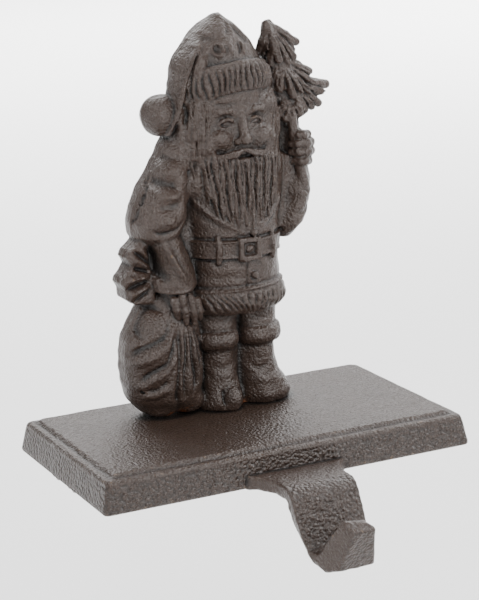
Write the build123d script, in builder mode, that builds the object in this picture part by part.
"""A cast iron mantel stocking holder: a stepped base with a hook at its front lower edge,
a relief figure of a bearded man in winter dress standing on it, and the screw that holds them together.

The origin is the middle of the base's front lower edge. X runs to the right, Y to the back and Z up,
and the underside of the base, which rests on the shelf, is at Z = 0.
"""

from build123d import *
from math import atan2, cos, degrees, radians, sin, sqrt
import os

os.makedirs("parts", exist_ok=True)

# Base, in millimetres
base_length = 178.0
base_depth = 102.0
base_height = 15.9
base_corner = 1.6
lip_height = 1.6
ledge_height = 14.2
ledge_inset = 2.2
ledge_bevel = 1.2
step_inset = 5.6
plateau_inset = 7.1
side_wall = 5.0
top_wall = 4.5
hollow_draw = 1.2

# Hook, cast with the base
hook_width = 32.0
hook_thickness = 6.1
hook_root_flare = 7.0
hook_root_length = 14.0
hook_arm = 20.0
hook_bend = 9.0
hook_lean = 25.0
hook_throat = 5.2
hook_throat_bottom = -17.0
hook_drop = 25.0
hook_heel_rise = 6.0
hook_tip_lean = 34.0
hook_tip_level = 0.6
hook_tip_facet = 5.0
hook_tip_face = 18.0
hook_tip_rake = 7.5
hook_tip_width = 10.0
hook_reach = 60.0
hook_taper_start = 30.0
hook_tip_fall = 6.6
hook_tip_start = 46.0
hook_leg_bevel_top = 0.4
hook_leg_bevel_left = 6.2
hook_leg_bevel_right = 1.0

# Screw that holds the figure down, and the boss under it
screw_diameter = 5.0
screw_head_diameter = 9.5
screw_head_height = 3.4
screw_slot_width = 1.3
screw_slot_depth = 1.6
screw_grip = 13.0
screw_tip = 1.0
screw_clearance = 0.15
boss_diameter = 15.0
boss_height = 3.0

# Figure, measured from its own axis, the base's top and the parting plane of its mould
figure_across = 6.5
parting_depth = 71.0
back_depth = 11.0
back_bevel = 2.5
back_draft = 0.6
belt_back = 4.0
tree_back = 6.0
relief_depth = 30.0
screw_behind_parting = 5.0

# Smaller features of the figure
collar_stand = 1.4
mouth_depth = 6.5
mouth_back = 7.5
mouth_taper = 10.0
pompom_radius = 9.3
beard_strands = 11
beard_half = 21.0
beard_spread = 25.5
beard_depth = 22.0
beard_groove = 1.3
buckle_width = 10.5
buckle_depth = 22.0
loop_width = 2.8
loop_depth = 18.8
button_radius = 1.6

# Levels of the figure above the base's top
cuff_level = 29.5
hem_level = 46.5
hem_width = 10.5
belt_level = 72.0
belt_width = 8.5
beard_tip_level = 84.5
mouth_level = 117.5
brim_level = 145.0
brim_width = 13.0
hat_top_level = 179.0

screw_across = figure_across
screw_back = parting_depth + screw_behind_parting
screw_seat = base_height - top_wall - boss_height
screw_hole = screw_diameter + 2 * screw_clearance


def figure_plane(along, foot, lean):
    """The plane square to an axis that leans in the parting plane, a distance along from its foot."""
    turn = radians(lean)
    origin = (
        figure_across + foot[0] + along * sin(turn),
        parting_depth,
        base_height + foot[1] + along * cos(turn),
    )
    return Plane(origin=origin, x_dir=(cos(turn), 0, -sin(turn)), z_dir=(sin(turn), 0, cos(turn)))


def figure_front(depth):
    """The plane a depth in front of the parting plane, looking forward, with the figure's foot as origin."""
    origin = (figure_across, parting_depth - depth, base_height)
    return Plane(origin=origin, x_dir=(1, 0, 0), z_dir=(0, -1, 0))


def ruled(sections):
    """A solid of flat facets between sections with the same number of corners, each on its own plane."""
    rings = [[plane.from_local_coords(corner) for corner in corners] for plane, corners in sections]
    facets = [Face(Wire.make_polygon(rings[0])), Face(Wire.make_polygon(rings[-1]))]
    for low, high in zip(rings, rings[1:]):
        for here in range(len(low)):
            before = here - 1
            facets.append(Face(Wire.make_polygon([low[before], low[here], high[here]])))
            facets.append(Face(Wire.make_polygon([low[before], high[here], high[before]])))
    with BuildPart() as solid:
        add(Solid(Shell(facets)))
    return solid.part


def limb(stations, foot=(0, 0), lean=0.0, back=back_depth, bevel=back_bevel, facets=10):
    """A form ruled along a leaning axis between sections given as (along, across, half width, depth).

    Each section has facets on half an ellipse in front of the parting plane, and drafted sides with
    bevelled corners behind it, no deeper than a narrow form is wide.
    """
    sections = []
    for along, across, half, depth in stations:
        rear = min(back, 0.9 * half + 1)
        corner = min(bevel, 0.5 * half)
        shoulder = half - min(back_draft, 0.1 * half)
        turns = [radians(180 * point / facets) for point in range(facets + 1)]
        front = [(across - half * cos(turn), -depth * sin(turn)) for turn in turns]
        behind = [
            (across + shoulder, rear - corner),
            (across + shoulder - corner, rear),
            (across - shoulder + corner, rear),
            (across - shoulder, rear - corner),
        ]
        sections.append((figure_plane(along, foot, lean), front + behind))
    return ruled(sections)


def bead(stations, foot=(0, 0), lean=0.0, sides=6):
    """A faceted bead laid on the relief through sections given as (along, across, half width, depth, rise).

    Each section is a polygon on an ellipse that reaches the depth and stands a rise above its middle.
    """
    sections = []
    for along, across, half, depth, rise in stations:
        turns = [radians(360 * (point + 0.5) / sides) for point in range(sides)]
        corners = [(across + half * cos(turn), rise * sin(turn) - depth + rise) for turn in turns]
        sections.append((figure_plane(along, foot, lean), corners))
    return ruled(sections)


def depth_on(stations, across, level):
    """The depth of an upright form's surface at a point of the front view."""
    for low, high in zip(stations, stations[1:]):
        if low[0] <= level <= high[0]:
            share = (level - low[0]) / (high[0] - low[0])
            middle, half, depth = (below + share * (above - below) for below, above in zip(low[1:], high[1:]))
            return depth * sqrt(max(0, 1 - ((across - middle) / half) ** 2))
    return 0


def fold(points, half, stand, under):
    """A raised fold laid on an upright form through points of the front view, running out at both ends."""
    first = Vector(*points[0])
    axis = Vector(*points[-1]) - first
    along = axis.normalized()
    side = Vector(along.Y, -along.X)
    stations = []
    for point in points:
        ending = point in (points[0], points[-1])
        width = 0.3 * half if ending else half
        proud = 0 if ending else stand
        step = Vector(*point) - first
        stations.append((step.dot(along), step.dot(side), width, depth_on(under, *point) + proud, width))
    return bead(stations, points[0], degrees(atan2(along.X, along.Y)))


def mirrored(points):
    """Points of the front view, on the other side of the figure's axis."""
    return [(-across, level) for across, level in points]


def fluted(rows, flutes, groove, foot=(0, 0), lean=0.0, nod=0.0):
    """A front relief of V flutes, ruled between rows given as (along, across, half width, depth, turn).

    A row follows half an ellipse, every second point is drawn in by a share of it, the groove, and turn
    moves the flutes sideways by a share of their spacing, so that they run aslant.
    """
    spaces = 2 * flutes + 3
    sections = []
    for along, across, half, depth, turn in rows:
        corners = [(across + half, 1), (across + half, 0)]
        for step in range(2 * flutes):
            angle = radians(180 * (step + 1 + turn) / spaces)
            size = 1 - groove if step % 2 else 1
            corners.append((across + size * half * cos(angle), -size * depth * sin(angle)))
        corners += [(across - half, 0), (across - half, 1)]
        sections.append((figure_plane(along, foot, lean).rotated((nod, 0, 0)), corners))
    return ruled(sections)


# Hook: its side outline, trimmed to its plan outline
leg_along = Vector(-sin(radians(hook_lean)), -cos(radians(hook_lean)))
leg_out = Vector(-cos(radians(hook_lean)), sin(radians(hook_lean)))
tip_along = Vector(-sin(radians(hook_tip_lean)), cos(radians(hook_tip_lean)))
tip_under = Vector(-cos(radians(hook_tip_lean)), -sin(radians(hook_tip_lean)))
bend_center = Vector(-hook_arm, hook_thickness - hook_bend)
leg_top = bend_center + leg_out * hook_bend
leg_back = bend_center + leg_out * (hook_bend - hook_thickness)
throat_level = hook_throat_bottom + hook_throat
leg_length = (leg_top.Y + leg_out.Y * hook_throat - throat_level) / -leg_along.Y
throat_center = leg_top + leg_along * leg_length + leg_out * hook_throat
throat_start = throat_center - leg_out * hook_throat
throat_end = throat_center + tip_under * hook_throat
throat_floor = throat_center - Vector(0, hook_throat)
tip_peak = throat_end + tip_along * ((hook_tip_level - throat_end.Y) / tip_along.Y)
tip_nose = Vector(-hook_reach, hook_tip_level - hook_tip_facet)
tip_foot = tip_nose + Vector(hook_tip_rake, -hook_tip_face)
heel = leg_back + leg_along * (leg_length - hook_heel_rise)
sole = Vector(throat_center.X - hook_throat, -hook_drop)

with BuildPart() as hook:
    with BuildSketch(Plane.YZ):
        with BuildLine():
            Line((side_wall / 2, hook_thickness), (-hook_arm, hook_thickness))
            TangentArc((-hook_arm, hook_thickness), leg_top, tangent=(-1, 0))
            Line(leg_top, throat_start)
            ThreePointArc(throat_start, throat_floor, throat_end)
            Polyline(throat_end, tip_peak, tip_nose, tip_foot, sole)
            TangentArc(heel, sole, tangent=leg_along)
            Line(heel, leg_back)
            TangentArc((-hook_arm, 0), leg_back, tangent=(-1, 0))
            Polyline((-hook_arm, 0), (side_wall / 2, 0), (side_wall / 2, hook_thickness))
        make_face()
    extrude(amount=hook_width, both=True)
    with BuildSketch(Plane.XY.offset(-hook_drop)):
        with BuildLine():
            Line((0, side_wall / 2), (hook_width / 2 + hook_root_flare, side_wall / 2))
            Line((hook_width / 2 + hook_root_flare, side_wall / 2), (hook_width / 2 + hook_root_flare, 0))
            TangentArc(
                (hook_width / 2, -hook_root_length), (hook_width / 2 + hook_root_flare, 0), tangent=(0, 1)
            )
            Polyline(
                (hook_width / 2, -hook_root_length),
                (hook_width / 2, -hook_taper_start),
                (hook_tip_width / 2, -hook_reach),
                (0, -hook_reach),
            )
            mirror(about=Plane.YZ)
        make_face()
    extrude(amount=hook_drop + base_height, mode=Mode.INTERSECT)
    with BuildSketch(Plane.XZ.offset(hook_tip_start)):
        with BuildLine():
            Polyline(
                (-hook_width / 4, hook_tip_level),
                (hook_width / 4, hook_tip_level - hook_tip_fall),
                (hook_width, hook_tip_level - hook_tip_fall),
                (hook_width, hook_thickness),
                (-hook_width / 4, hook_thickness),
                close=True,
            )
        make_face()
    extrude(amount=hook_reach - hook_tip_start, mode=Mode.SUBTRACT)
    for side, bevel_low in ((-1, hook_leg_bevel_left), (1, hook_leg_bevel_right)):
        for along, bevel in ((0, hook_leg_bevel_top), (leg_length + 2 * hook_throat, bevel_low)):
            corner = leg_back + leg_along * along
            leg_plane = Plane((0, corner.X, corner.Y), x_dir=(1, 0, 0), z_dir=(0, leg_along.X, leg_along.Y))
            with BuildSketch(leg_plane):
                with BuildLine():
                    Polyline(
                        (side * hook_width / 2, hook_thickness),
                        (side * (hook_width / 2 - bevel), 0),
                        (side * (hook_width / 2 - bevel), -hook_thickness),
                        (side * hook_width, -hook_thickness),
                        (side * hook_width, hook_thickness),
                        close=True,
                    )
                make_face()
        loft(ruled=True, mode=Mode.SUBTRACT)

# Base plate with its hook, one casting
base_plane = Plane((0, base_depth / 2, 0))


def plate_outline(level, inset):
    """The base's outline at a level, drawn in by an inset, with its corners taken off."""
    with BuildSketch(base_plane.offset(level)) as outline:
        Rectangle(base_length - 2 * inset, base_depth - 2 * inset)
        chamfer(outline.vertices(), base_corner)
    return outline.sketch


with BuildPart() as base_plate:
    loft(
        [
            plate_outline(0, 0),
            plate_outline(lip_height, 0),
            plate_outline(ledge_height - ledge_bevel, ledge_inset),
            plate_outline(ledge_height, ledge_inset + ledge_bevel),
        ],
        ruled=True,
    )
    loft([plate_outline(ledge_height, step_inset), plate_outline(base_height, plateau_inset)], ruled=True)
    loft(
        [plate_outline(0, side_wall), plate_outline(base_height - top_wall, side_wall + hollow_draw)],
        ruled=True,
        mode=Mode.SUBTRACT,
    )
    with BuildSketch(Plane((screw_across, screw_back, screw_seat))):
        Circle(boss_diameter / 2)
    extrude(amount=boss_height)
    with BuildSketch(Plane((screw_across, screw_back, screw_seat))):
        Circle(screw_hole / 2)
    extrude(amount=base_height - screw_seat, mode=Mode.SUBTRACT)
    add(hook.part)

# Screw from beneath, its head against the boss
screw_length = base_height - screw_seat + screw_grip

with BuildPart() as fixing_screw:
    with BuildSketch(Plane((screw_across, screw_back, screw_seat - screw_head_height))):
        Circle(screw_head_diameter / 2)
    extrude(amount=screw_head_height)
    with BuildSketch(Plane((screw_across, screw_back, screw_seat))):
        Circle(screw_diameter / 2)
    extrude(amount=screw_length)
    with BuildSketch(Plane((screw_across, screw_back, screw_seat - screw_head_height))):
        Rectangle(screw_head_diameter, screw_slot_width)
    extrude(amount=screw_slot_depth, mode=Mode.SUBTRACT)

# Figure: legs and boots
trousers_left = limb([(cuff_level, -9.5, 10.5, 10.7), (hem_level + 6, -9.5, 11, 11.2)])
trousers_right = limb([(cuff_level, 10.0, 10.5, 10.7), (hem_level + 6, 9.8, 11, 11.2)])


def boot_cuff(across, half, depth):
    """A rounded band round the top of a boot."""
    sizes = ((-1, 0.72), (1.4, 0.97), (5, 0.98), (8, 0.78))
    return limb([(cuff_level + level, across, size * half, size * depth) for level, size in sizes])


cuff_left = boot_cuff(-10.3, 11.6, 13.2)
cuff_right = boot_cuff(10.5, 12.4, 13.2)
boot_left = limb(
    [
        (0, -8.0, 10.0, 12.4),
        (4, -8.0, 10.6, 13.2),
        (14, -9.0, 9.9, 10.4),
        (cuff_level + 2, -9.8, 9.6, 10),
    ]
)
boot_right = limb(
    [
        (0, 13.6, 12.2, 10.0),
        (4, 13.6, 12.8, 10.5),
        (15, 11.2, 10.3, 10.2),
        (cuff_level + 2, 10.3, 9.6, 9.6),
    ]
)

# Figure: coat with its fur hem, belt and collar
coat_stations = [
    (hem_level + 1, 0, 21, 16.6),
    (hem_level + hem_width, 0, 23.6, 18.6),
    (belt_level, 0, 22.0, 19.2),
    (belt_level + belt_width, 0.2, 22.4, 19.6),
    (98, 0.5, 25, 18.6),
    (112, 0, 26.5, 15.5),
    (124, -1, 20, 11.7),
]
coat = limb(coat_stations, facets=14)
fur_hem = fluted(
    [
        (hem_level, 0, 22.5, 17.1, 0),
        (hem_level + 2.5, 0, 25.4, 19.3, 0.6),
        (hem_level + 0.7 * hem_width, 0, 25.8, 19.6, 1.2),
        (hem_level + hem_width, 0, 24.0, 18.2, 1.8),
    ],
    flutes=12,
    groove=0.055,
)
belt = limb(
    [(belt_level, 0, 22.9, 20.1), (belt_level + belt_width, 0.2, 23.3, 20.5)],
    back=belt_back,
    facets=14,
)

with BuildPart() as collar:
    add(
        limb(
            [
                (along, across, half + collar_stand, depth + collar_stand)
                for along, across, half, depth in coat_stations
            ],
            facets=14,
        )
    )
    with BuildSketch(figure_front(0)):
        with BuildLine():
            Polyline(
                (-22, 108), (-19.5, 100), (-16, 94), (-11, 87.5), (-5, 82.4), (0, 80.9),
                (5, 82.2), (10, 86), (14.5, 92), (18.5, 100), (20, 108),
                close=True,
            )
        make_face()
    extrude(amount=relief_depth, mode=Mode.INTERSECT)

# Figure: sack with its folds
sack_stations = [
    (0.8, -32.6, 11.4, 3.0),
    (3.5, -33.6, 14.6, 9.0),
    (10, -36.0, 17.4, 16.0),
    (19, -36.7, 18.8, 17.6),
    (31, -36.7, 18.8, 17.6),
    (41, -35.8, 17.0, 15.9),
    (50, -34.2, 13.0, 12.2),
    (58, -32.5, 9.0, 8.4),
]
sack = limb(sack_stations, facets=14)
sack_folds = [
    fold([(-20.6, 10), (-19.8, 20), (-21, 33), (-24, 45)], 1.9, 1.5, sack_stations),
    fold([(-24.8, 7), (-24.6, 18), (-25.2, 33), (-27, 46)], 2.1, 1.4, sack_stations),
    fold([(-30.4, 5), (-30.2, 18), (-30, 32), (-29.6, 46)], 2.2, 1.4, sack_stations),
    fold([(-38, 5), (-36.8, 16), (-35, 30), (-32, 45)], 2.3, 1.4, sack_stations),
    fold([(-50.5, 13), (-46, 17), (-42, 24), (-38.5, 34)], 2.4, 1.4, sack_stations),
    fold([(-51, 29), (-47, 36), (-41.5, 42), (-34, 46)], 2.3, 1.4, sack_stations),
]

# Figure: the sleeve and hand that hold the sack
upper_arm_stations = [
    (80.5, -37.4, 7.0, 10.2),
    (84.5, -37.1, 10.9, 14.8),
    (92, -35.6, 12.7, 17.2),
    (102, -33.0, 11.5, 15.8),
    (115, -27.8, 9.0, 12.6),
    (130, -21.5, 7.5, 8.5),
]
upper_arm = limb(upper_arm_stations)
forearm_stations = [
    (59.5, -31.5, 11.2, 17.4),
    (63, -31.6, 11.6, 18.0),
    (72, -32.6, 10.4, 16.2),
    (82, -35.0, 9.0, 14.0),
    (88, -36.5, 7.5, 11.7),
]
forearm = limb(forearm_stations)
elbow_fold = fold([(-45, 90), (-41, 87.6), (-35, 86.6), (-29, 88)], 1.8, 1.3, upper_arm_stations)


def finger(foot, lean, length, half, depth):
    """A finger with a rounded end, from its tip at the foot of the axis."""
    return bead(
        [
            (0, 0, 0.55 * half, depth - 1.4, half),
            (0.22 * length, 0, half, depth, 1.8 * half),
            (length, 0, half, depth + 0.4, 1.8 * half),
        ],
        foot=foot,
        lean=lean,
    )


hand_low = limb([(48, -29.5, 6.0, 12.4), (60.5, -30.5, 8.0, 16.5)], back=belt_back)
fingers_low = [finger((-34.6 + 3.4 * n, 47.5 - 1.2 * n), -4 + 3 * n, 13, 2.2, 16.8) for n in range(4)]

# Figure: the gathered mouth of the sack, fanned out beside the sleeve
with BuildPart() as sack_mouth:
    with BuildSketch(figure_front(0)) as mouth_outline:
        with BuildLine():
            Polyline(
                (-40, 53), (-40, 84), (-46.5, 83), (-51.8, 78.6), (-53.4, 75.6), (-51, 72), (-55.6, 66.6),
                (-56.2, 64.4), (-54.4, 61), (-54, 57), (-50, 54),
                close=True,
            )
        make_face()
    extrude(amount=mouth_depth, taper=mouth_taper)
    extrude(mouth_outline.sketch, amount=-mouth_back, taper=mouth_taper)

mouth_folds = [
    bead([(0, 0, 0.8, 5.8, 1), (5, 0, 2.0, 8.2, 2.5), (14, 0, 2.4, 9.8, 3)], (-54.8, 65), 62),
    bead([(0, 0, 0.8, 5.8, 1), (5, 0, 1.8, 8.0, 2.3), (13, 0, 2.2, 9.8, 2.8)], (-53, 58), 66),
    bead([(0, 0, 0.8, 5.8, 1), (4, 0, 2.0, 8.2, 2.5), (13, 0, 2.4, 9.8, 3)], (-52, 76.4), 116),
    bead([(0, 0, 0.8, 6.0, 1), (4, 0, 1.6, 7.8, 2), (10, 0, 2.0, 9.4, 2.5)], (-49.6, 72), 88),
]

# Figure: raised arm
raised_sleeve = limb(
    [
        (75.5, 25.5, 3.5, 5.8),
        (80, 27.0, 6.0, 9.9),
        (88, 30.0, 7.8, 12.7),
        (99, 32.0, 7.6, 12.4),
        (112, 33.5, 5.0, 8.2),
    ]
)
fist = limb([(107, 32.0, 5.0, 8.6), (112, 32.5, 6.2, 10.6), (121, 32.3, 6.0, 10.3), (126, 31.5, 4.0, 6.9)])
fingers_high = [finger((39.2, 110.3 + 4.1 * n), -90, 12, 2.2, 13.6) for n in range(4)]

# Figure: the fir tree in the raised hand
trunk = bead([(0, 0, 2.4, 11.2, 2.4), (36, 0, 2.4, 10.4, 2.4)], (33.9, 96), -8.9, sides=8)
tree_foot = (28.8, 130)
tree_lean = -8.5
tree_core = limb(
    [(-1, 2.5, 8, 5.6), (8, 3.5, 11.5, 8), (20, 2, 8.5, 6), (33, 1.2, 6, 4.2), (45, 0, 1.6, 1.1)],
    foot=tree_foot,
    lean=tree_lean,
    back=tree_back,
)


def tier(tip, reach, across, height, depth):
    """A skirt of branches round the tree, with its side tips at a distance along the axis."""
    rows = ((-2.6, 1, 0.72), (0, 1, 1), (0.45 * height, 0.5, 0.58), (height, 0, 0.2))
    return fluted(
        [(tip + rise, shift * across, size * reach, size * depth, 0.5) for rise, shift, size in rows],
        flutes=6,
        groove=0.13,
        foot=tree_foot,
        lean=tree_lean,
        nod=28,
    )


tree_tiers = [
    tier(1.6, 15.4, 3.4, 12, 11),
    tier(9.4, 19.2, 5.5, 14, 11.5),
    tier(19.5, 14.4, 2.9, 14, 10.5),
    tier(32.0, 10.8, 2.3, 13, 9),
]

# Figure: head, hair and cap
head_stations = [
    (104, 0, 17, 14.4),
    (112, 0, 20, 17.0),
    (124, 0, 21.5, 18.3),
    (136, -0.5, 21.5, 18.3),
    (148, -1, 21, 17.9),
]
head = limb(head_stations, facets=14)
hair = [
    fluted([(114, -17.5, 6.5, 12.4, 0), (128, -17.5, 7.5, 14.3, 0), (143, -17, 7.5, 14.3, 0)], 4, 0.08),
    fluted([(112, 17.5, 6.0, 12, 0), (128, 17.0, 6.5, 13, 0), (143, 16, 6.5, 13, 0)], 4, 0.08),
]
cap = limb(
    [
        (142, -3.0, 21.0, 18.9),
        (150, -2.2, 20.8, 18.7),
        (158, -1.9, 18.6, 16.8),
        (166.5, -2.6, 14.8, 13.3),
        (174.5, -3.1, 7.6, 6.8),
        (hat_top_level, -3.1, 1.6, 1.5),
    ],
    facets=14,
)
cap_tail = limb(
    [
        (128, -31.0, 1.5, 7.0),
        (134, -28.6, 2.5, 9.6),
        (141, -25.4, 3.2, 11.4),
        (148, -23.2, 3.6, 12.4),
        (158, -19.4, 4.0, 12.8),
        (166, -15.8, 3.8, 11.0),
        (171.5, -12.0, 1.8, 3.0),
    ]
)
brim = fluted(
    [
        (0, 0, 21.5, 19.4, 0),
        (2.5, 0, 23.0, 20.8, 0),
        (9.5, 0, 22.6, 20.4, 0),
        (brim_width, 0.2, 20.5, 18.5, 0),
    ],
    flutes=13,
    groove=0.05,
    foot=(-1.5, brim_level - 4.5),
    lean=-5,
    nod=-19,
)
pompom_turns = [radians(-75 + 30 * ring) for ring in range(6)]
pompom = limb(
    [
        (pompom_radius * sin(turn), 0, pompom_radius * cos(turn), pompom_radius * cos(turn))
        for turn in pompom_turns
    ],
    foot=(-31.5, 136.7),
    bevel=pompom_radius / 2,
)

# Figure: beard, its strands trimmed to its outline
with BuildPart() as beard:
    with BuildSketch(figure_plane(beard_tip_level, (0, 0), 0)):
        with BuildLine():
            strands = []
            for edge in range(2 * beard_strands + 1):
                across = beard_half * (1 - edge / beard_strands)
                inset = beard_groove if edge % 2 else 0
                strands.append((across, inset - beard_depth * sqrt(1 - (across / beard_spread) ** 2)))
            Polyline((beard_half, 0), *strands, (-beard_half, 0), close=True)
        make_face()
    extrude(amount=brim_level - beard_tip_level)
    with BuildSketch(figure_front(0)):
        with BuildLine():
            Polyline(
                (-20.4, 124), (-20.6, 112), (-19.5, 104.5), (-16.8, 98), (-14, 94), (-11.4, 92), (-9.5, 88.2),
                (-7.2, 88.6), (-5, 85), (-2.6, 86.4), (0, beard_tip_level), (2.6, 86), (5, 85), (7.4, 88.6),
                (9.8, 88.4), (12, 92), (14.6, 94.4), (17.6, 99.5), (20, 106), (20.8, 114), (20.4, 124),
                (14, 119), (6, mouth_level), (-6, mouth_level), (-14, 119),
                close=True,
            )
        make_face()
    extrude(amount=relief_depth, mode=Mode.INTERSECT)

# Figure: face
moustache_stations = [
    (0, 0, 2.2, 22.6, 2.6),
    (5, 0, 2.9, 22.6, 3.4),
    (10, 0, 2.2, 21, 2.6),
    (15, 0, 0.8, 18, 1),
]
moustache = [
    bead(moustache_stations, (0.2, 120), 104),
    bead(moustache_stations, (-0.2, 120), -104),
]
nose = bead(
    [(120.5, 0, 2.4, 20.4, 2.4), (123, 0, 3.6, 22.6, 3.6), (127, 0, 2.9, 21.4, 2.9), (137, 0, 2.0, 19.2, 2)]
)
cheek = [(9.4, 118.5), (9.8, 122), (10, 126.5), (10, 130)]
brow = [(2.4, 136.8), (5.5, 138.4), (9.5, 138.2), (13.4, 136)]
eye = [(4.2, 132.6), (6.6, 132.9), (9.4, 132.9), (11.8, 132.6)]
face = []
for points, half, stand in ((cheek, 5.2, 0.9), (brow, 1.5, 1.1), (eye, 1.7, 0.7)):
    face.append(fold(points, half, stand, head_stations))
    face.append(fold(mirrored(points), half, stand, head_stations))

# Figure: buckle, belt loops and buttons
buckle_level = belt_level + belt_width / 2

with BuildPart() as buckle:
    with BuildSketch(figure_front(18)):
        with Locations((0, buckle_level)):
            Rectangle(buckle_width, belt_width + 2)
            Rectangle(buckle_width - 5, belt_width - 3, mode=Mode.SUBTRACT)
    extrude(amount=buckle_depth - 18, taper=4)
    with BuildSketch(figure_front(12)):
        with Locations((-13.5, buckle_level), (12.8, buckle_level)):
            Rectangle(loop_width, belt_width + 1.5)
    extrude(amount=loop_depth - 12)
    with BuildSketch(figure_front(17)):
        with Locations((2.3, 63.5)):
            RegularPolygon(button_radius, 8)
        with Locations((2.3, 83.2)):
            RegularPolygon(button_radius, 8)
    extrude(amount=buckle_depth - 17)

figure_forms = [
    trousers_left, trousers_right, cuff_left, cuff_right, boot_left, boot_right,
    coat, fur_hem, belt, collar.part,
    sack, *sack_folds, sack_mouth.part, *mouth_folds, upper_arm, forearm, elbow_fold, hand_low, *fingers_low,
    raised_sleeve, fist, *fingers_high, trunk, tree_core, *tree_tiers,
    head, *hair, cap, cap_tail, brim, pompom, beard.part, *moustache, nose, *face, buckle.part,
]

with BuildPart() as figure:
    add(figure_forms)
    with BuildSketch(Plane((screw_across, screw_back, base_height))):
        Circle(screw_hole / 2)
    extrude(amount=screw_grip + screw_tip, mode=Mode.SUBTRACT)

for piece, name in ((base_plate, "base_plate"), (fixing_screw, "fixing_screw"), (figure, "figure")):
    piece.part.label = name
    export_step(piece.part, f"parts/{name}.step")
